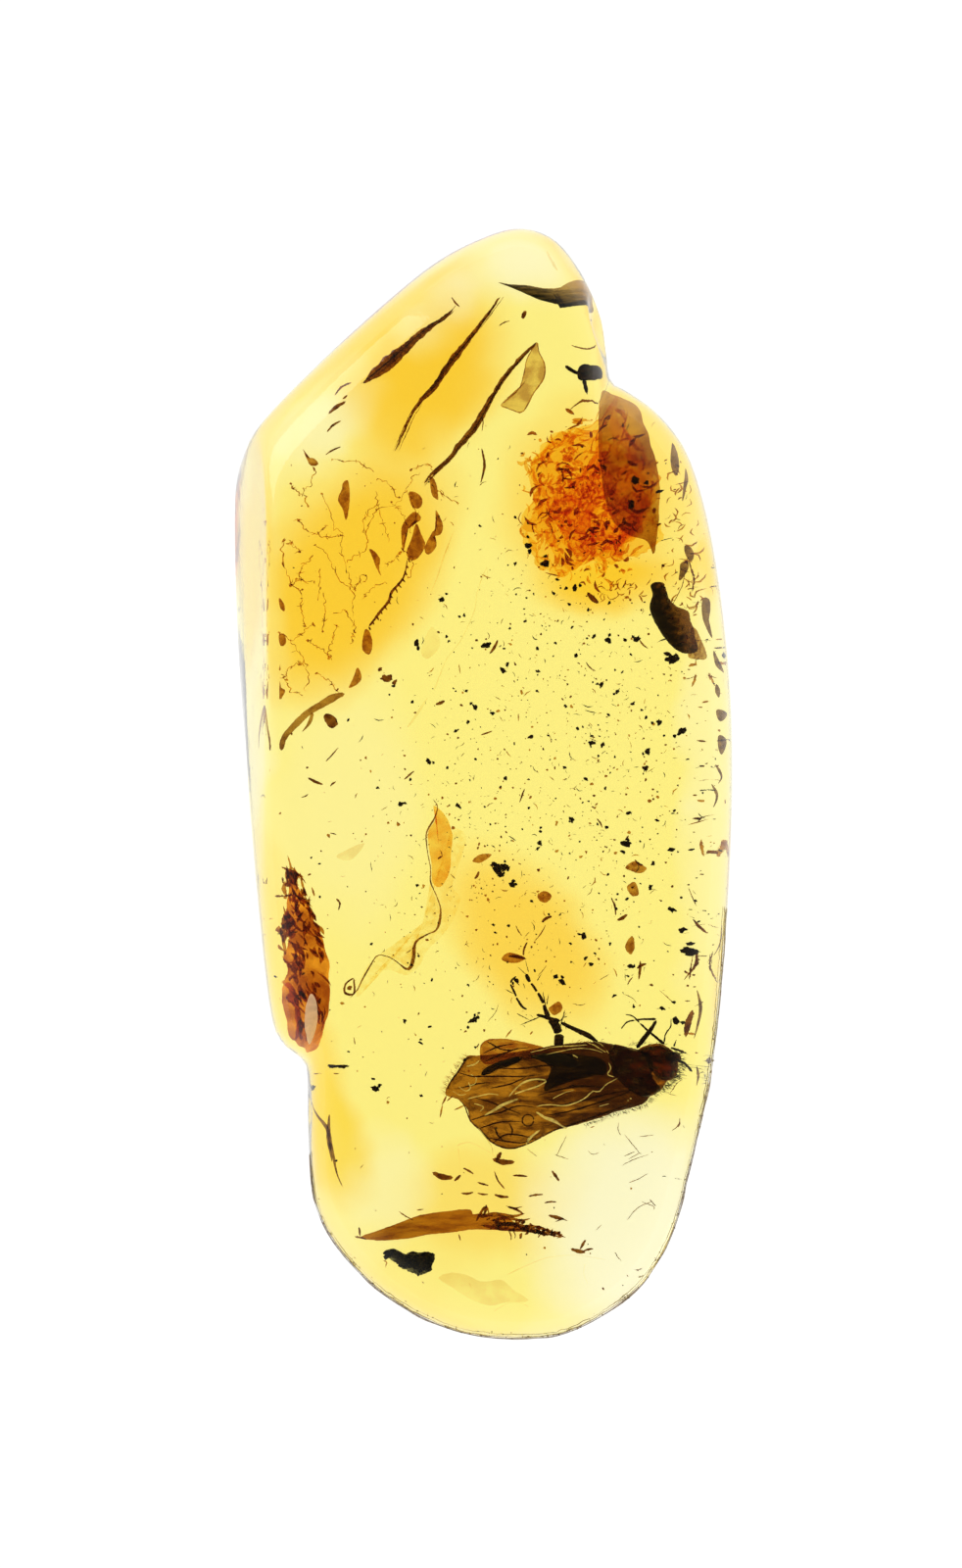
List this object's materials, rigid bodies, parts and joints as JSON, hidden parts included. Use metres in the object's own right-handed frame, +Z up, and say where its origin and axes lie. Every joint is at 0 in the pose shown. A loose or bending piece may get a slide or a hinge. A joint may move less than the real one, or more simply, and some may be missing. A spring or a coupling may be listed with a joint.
{
  "type": "insect in amber",
  "caption": "Polished oblong stone of clear golden amber, lying on its flat back, with a caddisfly and scraps of leaf, bark and charcoal sealed inside.",
  "frame": {"origin": "on the resting plane, under the middle of the stone's box", "axes": "+Z up out of the flat back towards the polished crown, +Y along the stone to its pointed end, +X to the side with the insect's head"},
  "size_m": [0.0162, 0.036, 0.008],
  "materials": {
    "amber": "hand-polished clear golden resin",
    "insect": "dark brown chitin and brown wings",
    "leaf": "dry brown plant tissue",
    "charcoal": "charred, black",
    "debris": "orange-brown fibrous crumbs",
    "bark": "dark brown to black bark"
  },
  "bodies": {
    "root": {"amber_crown": "amber", "amber_base": "amber", "caddisfly": "insect", "needle_leaf": "leaf", "charcoal_crumb": "charcoal", "debris_clump": "debris", "bark_chip": "bark", "crescent_scale": "bark", "bud": "bark", "long_shred": "leaf", "thin_shred": "leaf", "leaf_scrap": "leaf", "rind_flake": "debris"}
  },
  "joints": []
}
